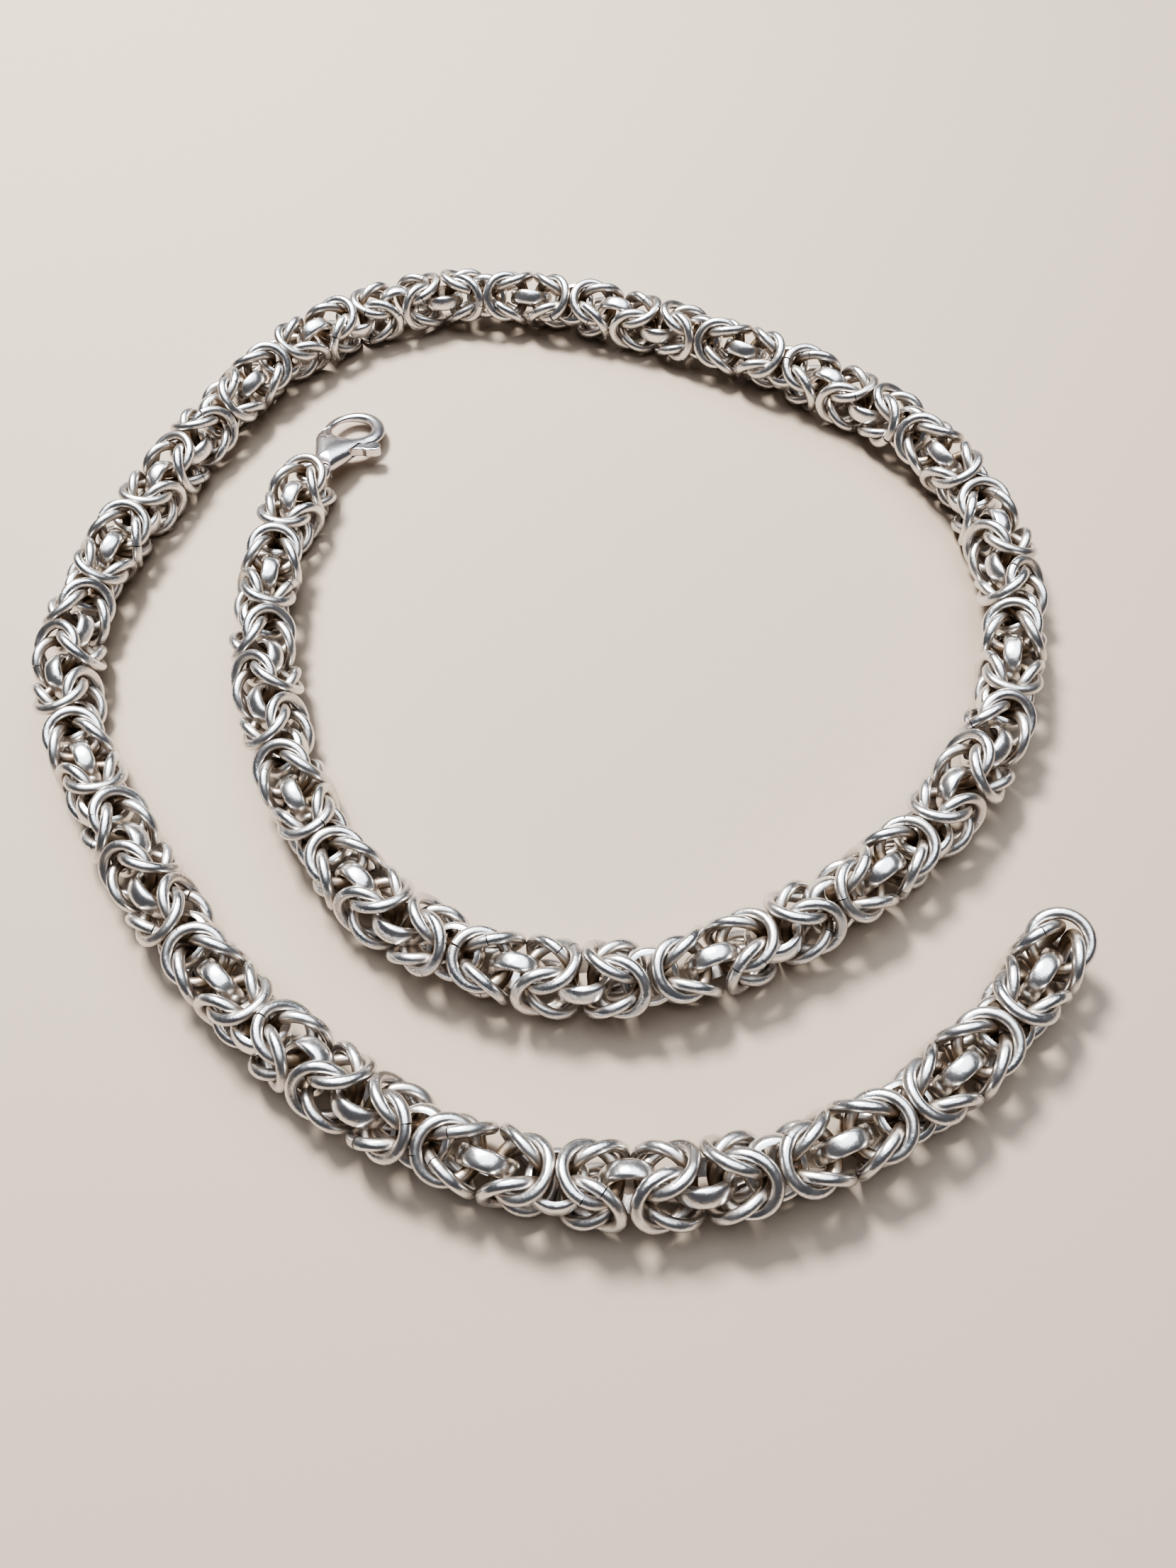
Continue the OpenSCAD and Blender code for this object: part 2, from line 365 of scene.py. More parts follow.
@dataclass
class BraidChain:
    """The chain: knots of four small rings with a half-round ring between knots.

    Attributes:
        wire: Diameter of the round wire.
        ring_bore: Inside diameter of a small ring.
        joiner_bore: Inside diameter of a joining ring.
        joiner_width: Width of the half-round wire.
        joiner_height: Height of the half-round wire.
        stretch_knots: Knots in one CAD stretch.
        stretches: CAD stretches from the bare end to the clasp.
        ring_lean: How far each small ring leans out from the line.
        along_wires: How far along from its knot's middle a ring sits, in wires.
        out_wires: How far out from the line a ring's middle is, in wires.
        give: How much of a bend the ring on its inside takes up.
        lift: Height that puts the lowest ring on the table.
        kerf: Width of a saw cut that isn't quite closed.
        shut_kerf: Width of a saw cut that is closed well.
        open_share: Share of the small rings whose cut isn't quite closed.
        end_back: How far back the last forward pair lies, off the clasp's neck.
        end_drop: How far the upper ring of that pair has sunk.
        seed: Seed for what varies from ring to ring.
    """

    line: ChainLine = field(default_factory=ChainLine)
    wire: float = 1.2 * MM
    ring_bore: float = 4.25 * MM
    joiner_bore: float = 4.5 * MM
    joiner_width: float = 2.0 * MM
    joiner_height: float = 0.72 * MM
    stretch_knots: int = 4
    stretches: int = 19
    ring_lean: float = math.radians(24.4)
    along_wires: float = 0.17
    out_wires: float = 1.42
    give: float = 0.45
    lift: float = 0.353 * MM
    kerf: float = 0.15 * MM
    shut_kerf: float = 0.02 * MM
    open_share: float = 0.25
    end_back: float = 0.8 * MM
    end_drop: float = 0.9 * MM
    seed: int = 7

    @property
    def ring_mean(self) -> float:
        """Radius of a small ring at the middle of its wire."""
        return (self.ring_bore + self.wire) / 2

    @property
    def ring_out(self) -> float:
        """How far out from the line a small ring's middle is."""
        return self.out_wires * self.wire

    @property
    def closed(self) -> Couple:
        """Middle of the wire where a pair is closest, along the line and out from it."""
        return (
            self.along_wires * self.wire - self.ring_mean * math.cos(self.ring_lean),
            self.ring_out - self.ring_mean * math.sin(self.ring_lean),
        )

    def rest_height(self, knots: float) -> float:
        """Finds how high the line is where the lowest ring meets the table.

        Args:
            knots: Knots from the bare end.

        Returns:
            The height.
        """
        reach = []
        for quarter in range(4):
            angle = self.line.turned(knots) + quarter * math.pi / 2
            across = math.cos(self.ring_lean) * math.sin(angle)
            reach.append(self.ring_mean * math.sqrt(1 - across**2) - self.ring_out * math.sin(angle))
        return self.lift + max(reach) + self.wire / 2

    def at_rest(self, knots: float, heading: float) -> Matrix:
        """Returns the frame of a point of the line, with X along a heading."""
        place = (*self.line.place(knots), self.rest_height(knots))
        return Matrix.Translation(place) @ Matrix.Rotation(heading, 4, "Z")

    def frame_at(self, knots: float, roll: float) -> Matrix:
        """Returns the place and turn of what sits at a station of the chain."""
        return self.at_rest(knots, self.line.heading(knots)) @ Matrix.Rotation(roll, 4, "X")

    def pair(self, bent: float, across: float) -> Iterator[tuple[Vector, Vector]]:
        """Lays out the two rings of a pair.

        Args:
            bent: How far the chain bends at the pair's open side.
            across: How much of the way out from the line points left.

        Yields:
            The middle and the axis of each ring.
        """
        along, out = self.closed
        spread = out + 2 * self.ring_mean * math.sin(self.ring_lean)
        for side in (-1, 1):
            back = self.give * spread * max(0.0, side * across * bent)
            lean = math.acos(math.cos(self.ring_lean) - back / (2 * self.ring_mean))
            ahead = along + self.ring_mean * math.cos(lean)
            aside = out + self.ring_mean * math.sin(lean)
            yield (
                Vector((ahead, side * aside, 0.0)),
                Vector((-side * math.sin(lean), math.cos(lean), 0.0)),
            )

    def nominal_links(self) -> Links:
        """Lays out every ring of the chain as the CAD has it, before it settles.

        Returns:
            The rings, knot after knot from the bare end.
        """
        rows = []
        knots = self.stretches * self.stretch_knots
        for knot in range(knots):
            roll = knot * math.pi / 2 + self.line.turned(knot + 0.5)
            place = self.frame_at(knot + 0.5, roll)
            turn = place.to_3x3()
            for middle, axis in self.pair(self.line.bend(knot + 1), math.cos(roll)):
                centre = place @ middle
                if knot == knots - 1:
                    centre -= turn @ Vector((self.end_back, 0.0, 0.0))
                    centre.z -= self.end_drop if centre.z > place.translation.z else 0.0
                rows.append((centre, turn @ axis, LinkKind.SMALL_RING, knot + 0.5))
            for middle, axis in self.pair(self.line.bend(max(knot, 1)), -math.sin(roll)):
                centre = place @ Vector((-middle.x, middle.z, middle.y))
                facing = turn @ Vector((-axis.x, axis.z, axis.y))
                rows.append((centre, facing, LinkKind.SMALL_RING, knot + 0.5))
            if knot < knots - 1:
                roll = (knot + 1) * math.pi / 2 + self.line.turned(knot + 1)
                place = self.frame_at(knot + 1, roll)
                facing = place.to_3x3() @ UP
                rows.append((place.to_translation(), facing, LinkKind.JOINER, knot + 1))
        centres, axes, kinds, stations = zip(*rows)
        return Links(np.array(centres), np.array(axes), kinds, np.array(stations, float))


@dataclass
class Settling:
    """Lets loose rings come to rest so that none runs through another.

    Each ring is a few round strands, one for a small ring and three side by side
    for a joining ring. Rings that overlap push each other apart and turn each other,
    a little at a time, while a slight pull keeps each near the place it started from.

    Attributes:
        chain: The chain whose sizes the rings have.
        rounds: How many times the rings push each other.
        pulled_rounds: How many of those rounds also pull each ring back.
        points: Points round each strand that are tested.
        neighbours: How many knots apart two rings may be and still touch.
        strand_inset: How far in the outer strands of a joiner lie, in its heights.
        strand_radius: Radius of a joiner's strands, in its heights.
        undone: How much of an overlap is undone in one round.
        upright: Rise of a ring's axis from which it counts as upright.
        pull: How much of its way back a ring is pulled each round.
        loose: How far a ring's start is moved at random.
        loose_turn: How far a ring's start is turned at random.
    """

    chain: BraidChain
    rounds: int = 60
    pulled_rounds: int = 40
    points: int = 36
    neighbours: float = 1.1
    strand_inset: float = 0.45
    strand_radius: float = 0.42
    undone: float = 0.9
    upright: float = 0.8
    pull: float = 0.03
    loose: float = 0.09 * MM
    loose_turn: float = math.radians(3.5)

    def strands(self, links: Links) -> tuple[np.ndarray, np.ndarray, np.ndarray, np.ndarray]:
        """Lists the round strands that stand for the rings.

        Args:
            links: The rings.

        Returns:
            Each strand's ring, radius, offset along the ring's axis and thickness.
        """
        chain = self.chain
        inset = self.strand_inset * chain.joiner_height
        middle = chain.joiner_width / 2 - inset
        found = []
        for index, kind in enumerate(links.kinds):
            if kind is LinkKind.SMALL_RING:
                found.append((index, chain.ring_mean, 0.0, chain.wire / 2))
                continue
            radius, thick = chain.joiner_bore / 2 + inset, self.strand_radius * chain.joiner_height
            found += [(index, radius, side * middle, thick) for side in (-1, 0, 1)]
        return tuple(np.array(column) for column in zip(*found))

    def near_pairs(self, links: Links, owner: np.ndarray) -> tuple[np.ndarray, np.ndarray]:
        """Finds the strands that may touch.

        Args:
            links: The rings.
            owner: Each strand's ring.

        Returns:
            The first and the second strand of each pair whose rings are close.
        """
        station = links.stations[owner]
        first, second = np.triu_indices(len(owner), 1)
        near = np.abs(station[first] - station[second]) < self.neighbours
        apart = owner[first] != owner[second]
        return first[near & apart], second[near & apart]

    def lower(self, links: Links) -> np.ndarray:
        """Lets each knot down onto the table.

        Args:
            links: The rings.

        Returns:
            The rings' middles once they are down.
        """
        rise = np.sqrt(1.0 - np.clip(links.axes[:, 2], -1.0, 1.0) ** 2)
        clear = links.centres[:, 2] - rise * self.chain.ring_mean - self.chain.wire / 2
        near = np.abs(links.stations[:, None] - links.stations[None]) < self.neighbours
        least = np.where(near, clear[None], np.inf).min(axis=1)
        drop = (near * least[None]).sum(axis=1) / near.sum(axis=1)
        lowered = links.centres.copy()
        lowered[:, 2] -= drop
        return lowered

    def settle(self, links: Links) -> Links:
        """Moves and turns the rings until they rest against each other.

        Args:
            links: The rings as they are laid out.

        Returns:
            The rings at rest.
        """
        chance = np.random.default_rng(self.chain.seed)
        home = self.lower(links)
        home_axes = links.axes.copy()
        centres = home + chance.normal(0.0, self.loose, home.shape)
        axes = home_axes + chance.normal(0.0, self.loose_turn, home.shape)
        owner, radius, offset, thick = self.strands(links)
        a, b = self.near_pairs(links, owner)
        row = np.arange(len(a))
        small = np.array([kind is LinkKind.SMALL_RING for kind in links.kinds])
        angles = np.linspace(0.0, math.tau, self.points, endpoint=False)
        across, up = np.cos(angles)[None, :, None], np.sin(angles)[None, :, None]
        depth = 0.0
        for done in range(self.rounds):
            axes /= np.linalg.norm(axes, axis=1, keepdims=True)
            level = np.abs(axes[:, 2:3]) < self.upright
            guide = np.where(level, [[0.0, 0.0, 1.0]], [[1.0, 0.0, 0.0]])
            right = np.cross(guide, axes)
            right /= np.linalg.norm(right, axis=1, keepdims=True)
            ahead = np.cross(axes, right)
            middles = centres[owner] + offset[:, None] * axes[owner]
            rim = across * right[owner][:, None] + up * ahead[owner][:, None]
            points = middles[:, None] + radius[:, None, None] * rim
            between = points[a][:, :, None] - points[b][:, None]
            far = np.einsum("pijk,pijk->pij", between, between).reshape(len(a), -1)
            nearest = far.argmin(axis=1)
            i, j = nearest // self.points, nearest % self.points
            way = between[row, i, j]
            gap = np.sqrt(far[row, nearest])
            overlap = thick[a] + thick[b] - gap
            touching = overlap > 0
            depth = float(overlap.max())
            push = (way / gap[:, None] * overlap[:, None])[touching]
            move = np.zeros_like(centres)
            spin = np.zeros_like(centres)
            count = np.zeros(len(centres))
            for strand, at, sign in ((a, i, 0.5), (b, j, -0.5)):
                link = owner[strand[touching]]
                arm = points[strand[touching], at[touching]] - centres[link]
                reach = (arm**2).sum(axis=1, keepdims=True)
                np.add.at(move, link, sign * push)
                np.add.at(spin, link, sign * np.cross(arm, push) / reach)
                np.add.at(count, link, 1.0)
            share = self.undone / np.maximum(count, 1.0)[:, None] ** 0.5
            centres += share * move
            axes += np.cross(share * spin, axes)
            if done < self.pulled_rounds:
                centres += self.pull * (home - centres)
                axes += self.pull * (home_axes - axes)
            axes /= np.linalg.norm(axes, axis=1, keepdims=True)
            drop = np.sqrt(np.maximum(0.0, 1.0 - axes[:, 2] ** 2)) * self.chain.ring_mean
            sunk = np.maximum(0.0, drop + self.chain.wire / 2 - centres[:, 2])
            centres[:, 2] += np.where(small, sunk, 0.0)
        log.info("rings settled; deepest overlap left %.3f mm", depth / MM)
        return Links(centres, axes, links.kinds, links.stations)


@dataclass
class LinkMesher:
    """Turns settled rings into plain meshes with Geometry Nodes.

    Attributes:
        chain: The chain whose sizes the rings have.
        round_steps: Faces along a ring.
        wire_steps: Faces round the wire.
        sharp: Least angle between two faces that shows as an edge.
        fullness: Power that makes the half-round wire flat on top; 1 is an ellipse.
        near_line: Distance from the chain's line up to which the silver gets the full painted shade.
        clear_of_line: Distance from the chain's line from which it gets no painted shade.
        line_step: Knots between two points of the line that distance is taken from.
    """

    chain: BraidChain
    round_steps: int = 36
    wire_steps: int = 10
    sharp: float = math.radians(50)
    fullness: float = 0.5
    near_line: float = 1.7 * MM
    clear_of_line: float = 3.6 * MM
    line_step: float = 0.1

    def build_tree(self, kind: LinkKind) -> NodeTree:
        """Builds the tree that sets one sort of ring on every point it is given.

        Args:
            kind: The sort of ring.

        Returns:
            The tree with its named inputs.
        """
        tree = bpy.data.node_groups.new(kind.value, "GeometryNodeTree")
        tree.is_modifier = True
        graph = NodeGraph(tree)
        sizes = {**self.small_ring_sizes(self.chain.kerf), **self.joiner_sizes()}
        sorts = {"Geometry": "Geometry", **dict.fromkeys(sizes, "Float"), "Finish": "Material"}
        for name, sort in sorts.items():
            tree.interface.new_socket(name, in_out="INPUT", socket_type="NodeSocket" + sort)
        tree.interface.new_socket("Geometry", in_out="OUTPUT", socket_type="NodeSocketGeometry")
        given = graph.add("NodeGroupInput").outputs
        if kind is LinkKind.SMALL_RING:
            path = graph.add(
                "GeometryNodeCurveArc",
                {
                    "Radius": given["Mean Radius"],
                    "Sweep Angle": given["Sweep"],
                    "Resolution": self.round_steps + 1,
                },
            )
            section = graph.add(
                "GeometryNodeCurvePrimitiveCircle",
                {"Radius": given["Wire Radius"], "Resolution": self.wire_steps},
            )
        else:
            path = graph.add(
                "GeometryNodeCurvePrimitiveCircle",
                {"Radius": given["Mean Radius"], "Resolution": self.round_steps},
            )
            arc = graph.add(
                "GeometryNodeCurveArc",
                {
                    "Radius": given["Wire Radius"],
                    "Resolution": self.wire_steps,
                    "Start Angle": -math.pi / 2,
                    "Sweep Angle": math.pi,
                    "Connect Center": True,
                },
            )
            point = graph.add("GeometryNodeInputPosition")
            at = graph.add("ShaderNodeSeparateXYZ", {0: point.outputs["Position"]})
            height = at.outputs["X"]
            for operation, value in (
                ("DIVIDE", given["Wire Radius"]),
                ("MAXIMUM", 0.0),
                ("POWER", given["Fullness"]),
                ("MULTIPLY", given["Height"]),
            ):
                step = graph.add("ShaderNodeMath", {0: height, 1: value}, operation=operation)
                height = step.outputs["Value"]
            moved = graph.add("ShaderNodeCombineXYZ", {"X": height, "Y": at.outputs["Y"]})
            section = graph.add(
                "GeometryNodeSetPosition",
                {"Geometry": arc.outputs["Curve"], "Position": moved.outputs["Vector"]},
            )
        wire = graph.add(
            "GeometryNodeCurveToMesh",
            {
                "Curve": path.outputs["Curve"],
                "Profile Curve": section.outputs[0],
                "Fill Caps": True,
            },
        )
        smooth = graph.add("GeometryNodeSetShadeSmooth", {"Geometry": wire.outputs["Mesh"]})
        facing = graph.add(
            "GeometryNodeInputNamedAttribute", {"Name": "facing"}, data_type="QUATERNION"
        )
        placed = graph.add(
            "GeometryNodeInstanceOnPoints",
            {
                "Points": given["Geometry"],
                "Instance": smooth.outputs["Geometry"],
                "Rotation": facing.outputs["Attribute"],
            },
        )
        real = graph.add("GeometryNodeRealizeInstances", {"Geometry": placed.outputs["Instances"]})
        dressed = graph.add(
            "GeometryNodeSetMaterial",
            {"Geometry": real.outputs["Geometry"], "Material": given["Finish"]},
        )
        graph.add("NodeGroupOutput", {"Geometry": dressed.outputs["Geometry"]})
        return tree

    def rings(
        self,
        name: str,
        centres: np.ndarray,
        axes: np.ndarray,
        spins: np.ndarray,
        tree: NodeTree,
        values: dict[str, object],
    ) -> Mesh:
        """Makes rings of one sort.

        Args:
            name: The mesh's name.
            centres: The rings' middles.
            axes: The rings' axes.
            spins: How far each ring is turned about its own axis.
            tree: The tree for this sort of ring.
            values: Values of the tree's named inputs.

        Returns:
            One plain mesh of all of them.
        """
        seeds = bpy.data.meshes.new(name + "_places")
        seeds.vertices.add(len(centres))
        seeds.vertices.foreach_set("co", centres.astype(np.float32).ravel())
        turns = []
        for axis, spin in zip(axes, spins):
            turn = UP.rotation_difference(Vector(axis))
            turns.append(tuple(turn @ Matrix.Rotation(spin, 3, "Z").to_quaternion()))
        facing = seeds.attributes.new("facing", "QUATERNION", "POINT")
        facing.data.foreach_set("value", np.array(turns, np.float32).ravel())
        holder = shown(name, seeds)
        modifier = holder.modifiers.new("rings", "NODES")
        modifier.node_group = tree
        for socket in tree.interface.items_tree:
            if socket.name in values:
                modifier[socket.identifier] = values[socket.name]
        made = applied(holder)
        made.name = name
        bpy.data.objects.remove(holder)
        bpy.data.meshes.remove(seeds)
        return made

    def small_ring_sizes(self, kerf: float) -> dict[str, float]:
        """Returns the sizes of a small ring with a saw cut of the given width."""
        return {
            "Mean Radius": self.chain.ring_mean,
            "Wire Radius": self.chain.wire / 2,
            "Sweep": math.tau - kerf / self.chain.ring_mean,
        }

    def joiner_sizes(self) -> dict[str, float]:
        """Returns the sizes of a joining ring, whose half-round wire is soldered shut."""
        return {
            "Mean Radius": self.chain.joiner_bore / 2,
            "Wire Radius": self.chain.joiner_width / 2,
            "Height": self.chain.joiner_height,
            "Fullness": self.fullness,
        }

    def mark_painted_shade_depth(self, mesh: Mesh, number: int) -> None:
        """Stores how deep in the weave each point of a stretch lies, as an attribute that sets its
        painted shade.

        Args:
            mesh: The stretch's mesh.
            number: The stretch's number.
        """
        chain = self.chain
        places = np.empty(3 * len(mesh.vertices), np.float32)
        mesh.vertices.foreach_get("co", places)
        first, last = (number - 1) * chain.stretch_knots - 1, number * chain.stretch_knots + 1
        stations = np.arange(first, last, self.line_step)
        line = np.array([[*chain.line.place(at), chain.rest_height(at)] for at in stations])
        away = np.linalg.norm(places.reshape(-1, 1, 3) - line[None], axis=2).min(axis=1)
        # Painted shade: full near the chain's line, none clear of it.
        depth = (self.clear_of_line - away) / (self.clear_of_line - self.near_line)
        painted_shade_depth = mesh.attributes.new(PAINTED_SHADE_DEPTH, "FLOAT", "POINT")
        painted_shade_depth.data.foreach_set("value", np.clip(depth, 0.0, 1.0).astype(np.float32))

    def build(self, links: Links, finishes: dict[LinkKind, Material]) -> None:
        """Makes one piece for each CAD stretch, of small rings and joining rings.

        Args:
            links: The rings at rest.
            finishes: The material of each sort of ring.
        """
        chain = self.chain
        chance = np.random.default_rng(chain.seed + 1)
        spins = chance.uniform(0.0, math.tau, len(links.kinds))
        cut_open = chance.random(len(links.kinds)) < chain.open_share
        trees = {kind: self.build_tree(kind) for kind in LinkKind}
        joiners = np.array([kind is LinkKind.JOINER for kind in links.kinds])
        batches = (
            (LinkKind.SMALL_RING, cut_open & ~joiners, self.small_ring_sizes(chain.kerf)),
            (LinkKind.SMALL_RING, ~cut_open & ~joiners, self.small_ring_sizes(chain.shut_kerf)),
            (LinkKind.JOINER, joiners, self.joiner_sizes()),
        )
        order = list(LinkKind)
        stretch = np.ceil(links.stations / chain.stretch_knots).astype(int)
        for number in range(1, chain.stretches + 1):
            name = f"links_{number:02d}"
            whole = bmesh.new()
            for kind, batch, sizes in batches:
                mine = batch & (stretch == number)
                if not mine.any():
                    continue
                mesh = self.rings(
                    f"{name}_{kind.name.lower()}",
                    links.centres[mine],
                    links.axes[mine],
                    spins[mine],
                    trees[kind],
                    {**sizes, "Finish": finishes[kind]},
                )
                before = len(whole.faces)
                whole.from_mesh(mesh)
                whole.faces.ensure_lookup_table()
                for face in whole.faces[before:]:
                    face.material_index = order.index(kind)
                    face.smooth = True
                bpy.data.meshes.remove(mesh)
            for edge in whole.edges:
                edge.smooth = edge.calc_face_angle(0.0) < self.sharp
            piece = shown(name, finished(name, whole))
            self.mark_painted_shade_depth(piece.data, number)
            for kind in order:
                piece.data.materials.append(finishes[kind])
            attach(piece, "necklace")
            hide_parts(f"chain_stretch_{number:02d}")
            log.info("%s: %d faces", name, len(piece.data.polygons))


@dataclass
class Clasp:
    """The clasp: a rounded casting and its lever, where the CAD's two pieces are.

    The CAD has the clasp's outline, slot, mouth and lever with crisp edges. Here they
    are cut out of one soft ring-shaped form that is rounded all over, as the casting is.
    Plans are in the clasp's own frame: its eye on the origin and its tip along X.

    Attributes:
        chain: The chain that it hangs from.
        station: Knots from the bare end to the eye.
        heading: The way that its tip points.
        dip: How far its tip leans down to the table.
        thick: Thickness at the eye's end.
        dome: Radius of its two long faces.
        taper: How far each face draws in towards the tip.
        head: Middle of the hook's round outline.
        head_radius: Radius of that outline.
        head_side: Where the body's near side leaves it.
        bulge: Middle of the rounded far side.
        bulge_radius: Radius of the rounded far side.
        bulge_side: Where the body's far side leaves it.
        neck_left: Far corner of the neck.
        neck_right: Near corner of the neck.
        hook: Middle of the hook's bore.
        hook_bore: Diameter of the hook's bore.
        clear: How far the soft form stays inside the CAD's outline.
        soft_edge: How far in from the outline it keeps rounding.
        roundness: Power of that rounding; 2 is an ellipse.
        eye_end: How far along the clasp its eye reaches.
        flat_side: How far across the clasp the lever is flat.
        grain: Size of the small cells that the smooth skin is made of.
        round_steps: Sections round the hook.
        band_steps: Points across each face of a section.
        farthest: Distance from the bore's middle that the whole outline is within.
        search_step: Step in which the outline is looked for.
        rim_smoothing: Rounds of smoothing that take the corners off the outline.
        beyond: A length that reaches past the clasp on every side.
        body_smoothing: Rounds of smoothing that take the edges off the body.
        lever_smoothing: Rounds of smoothing that take the edges off the lever.
        smoothing_share: How far each of those rounds moves a point.
    """

    chain: BraidChain
    station: float = 75.82
    heading: float = math.radians(62)
    dip: float = math.radians(10.6)
    thick: float = 3.3 * MM
    dome: float = 12 * MM
    taper: float = math.radians(2)
    head: Couple = (10.75 * MM, 0.3 * MM)
    head_radius: float = 4.15 * MM
    head_side: float = math.radians(-118)
    bulge: Couple = (8.3 * MM, 0.7 * MM)
    bulge_radius: float = 3.55 * MM
    bulge_side: float = math.radians(120)
    neck_left: Couple = (1.8 * MM, 0.95 * MM)
    neck_right: Couple = (1.8 * MM, -1.6 * MM)
    hook: Couple = (10.7 * MM, 0.65 * MM)
    hook_bore: float = 5.2 * MM
    clear: float = 0.02 * MM
    soft_edge: float = 2.1 * MM
    roundness: float = 2.1
    eye_end: float = 1.85 * MM
    flat_side: float = 1.0 * MM
    grain: float = 0.075 * MM
    round_steps: int = 240
    band_steps: int = 18
    farthest: float = 13 * MM
    search_step: float = 0.01 * MM
    rim_smoothing: int = 2
    beyond: float = 20 * MM
    body_smoothing: int = 5
    lever_smoothing: int = 12
    smoothing_share: float = 0.5

    def place(self) -> Matrix:
        """Returns where the clasp's frame is."""
        return self.chain.at_rest(self.station, self.heading) @ Matrix.Rotation(self.dip, 4, "Y")

    def inside(self, points: np.ndarray) -> np.ndarray:
        """Tells which points of the plan are inside the outline.

        Args:
            points: Points of the plan, their two coordinates last.

        Returns:
            True for each point inside.
        """
        found = np.zeros(points.shape[:-1], bool)
        sides = []
        for middle, radius, side in (
            (np.array(self.head), self.head_radius, self.head_side),
            (np.array(self.bulge), self.bulge_radius, self.bulge_side),
        ):
            found |= np.linalg.norm(points - middle, axis=-1) < radius
            sides += [middle, middle + radius * np.array([math.cos(side), math.sin(side)])]
        head, near_side, bulge, far_side = sides
        corners = [self.neck_right, near_side, head, bulge, far_side, self.neck_left]
        odd = np.zeros_like(found)
        for a, b in zip(corners, corners[1:] + corners[:1]):
            spans = (a[1] > points[..., 1]) != (b[1] > points[..., 1])
            crossing = a[0] + (points[..., 1] - a[1]) / (b[1] - a[1]) * (b[0] - a[0])
            odd ^= spans & (points[..., 0] < crossing)
        return found | odd

    def soft_form(self) -> Mesh:
        """Lofts the rounded form round the hook's bore, from the tip to the neck.

        Returns:
            A closed mesh in place.
        """
        hook = np.array(self.hook)
        angles = np.linspace(0.0, math.tau, self.round_steps, endpoint=False)
        ways = np.stack([np.cos(angles), np.sin(angles)], axis=1)
        inner = self.hook_bore / 2 + self.clear
        tries = np.arange(inner, self.farthest, self.search_step)
        within = self.inside(hook + tries[None, :, None] * ways[:, None])
        outer = (tries[None] * within).max(axis=1)
        for _ in range(self.rim_smoothing):
            outer = (np.roll(outer, 1) + 2 * outer + np.roll(outer, -1)) / 4
        outer -= self.clear
        share = (1 - np.cos(np.linspace(0.0, math.pi, self.band_steps + 1))) / 2
        reach = inner + (outer - inner)[:, None] * share[None]
        plan = hook + reach[..., None] * ways[:, None]
        edge = hook + outer[:, None] * ways
        side = np.roll(edge, -1, axis=0) - edge
        rel = plan[:, :, None] - edge[None, None]
        along = np.clip((rel * side).sum(axis=-1) / (side**2).sum(axis=-1), 0.0, 1.0)
        from_rim = np.linalg.norm(rel - along[..., None] * side, axis=-1).min(axis=-1)
        from_bore = reach - inner
        depth = from_rim * from_bore / np.maximum(from_rim + from_bore, SAME_POINT)
        rounding = 1 - (1 - np.minimum(depth / self.soft_edge, 1.0)) ** self.roundness
        full = self.thick / 2 - self.dome + np.sqrt(self.dome**2 - plan[..., 1] ** 2)
        full -= plan[..., 0] * math.tan(self.taper) + self.clear
        height = full * rounding ** (1 / self.roundness)
        over = np.concatenate([plan, height[..., None]], axis=-1)
        under = np.concatenate([plan, -height[..., None]], axis=-1)[:, -2:0:-1]
        sections = np.concatenate([over, under], axis=1)
        index = np.arange(sections.shape[0] * sections.shape[1]).reshape(sections.shape[:2])
        after = np.roll(index, -1, axis=0)
        faces = np.stack(
            [index, after, np.roll(after, -1, axis=1), np.roll(index, -1, axis=1)], axis=-1
        )
        mesh = bpy.data.meshes.new("soft_form")
        mesh.from_pydata(sections.reshape(-1, 3).tolist(), [], faces.reshape(-1, 4).tolist())
        shape = bmesh.new()
        shape.from_mesh(mesh)
        return self.in_place("soft_form", shape)

    def block(self, along: float, across: float) -> Mesh:
        """Makes a block of all that lies up to a distance along and across the clasp.

        Args:
            along: How far along the clasp it goes.
            across: How far across the clasp it goes.

        Returns:
            The block in place.
        """
        shape = bmesh.new()
        bmesh.ops.create_cube(shape, size=2 * self.beyond)
        for vert in shape.verts:
            vert.co.x = min(vert.co.x, along)
            vert.co.y = min(vert.co.y, across)
        return self.in_place("block", shape)

    def in_place(self, name: str, shape: BMesh) -> Mesh:
        """Puts a form in place with its faces outwards.

        Args:
            name: The form's name.
            shape: The form in the clasp's frame.

        Returns:
            A mesh of it.
        """
        bmesh.ops.transform(shape, matrix=self.place(), verts=shape.verts)
        bmesh.ops.recalc_face_normals(shape, faces=shape.faces)
        return finished(name, shape)

    def common(self, node: str, form: Mesh) -> Mesh:
        """Cuts a CAD piece to a form.

        Args:
            node: The CAD node's name.
            form: The form's mesh.

        Returns:
            A mesh of what the two have in common.
        """
        shape = bmesh.new()
        shape.from_mesh(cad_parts[node].data)
        bmesh.ops.remove_doubles(shape, verts=shape.verts, dist=SAME_POINT)
        piece = shown(node + "_copy", finished(node + "_copy", shape))
        cutter = shown("cutter", form)
        cut = piece.modifiers.new("cut", "BOOLEAN")
        cut.operation = "INTERSECT"
        cut.solver = "EXACT"
        cut.object = cutter
        made = applied(piece)
        bpy.data.objects.remove(piece)
        bpy.data.objects.remove(cutter)
        return made

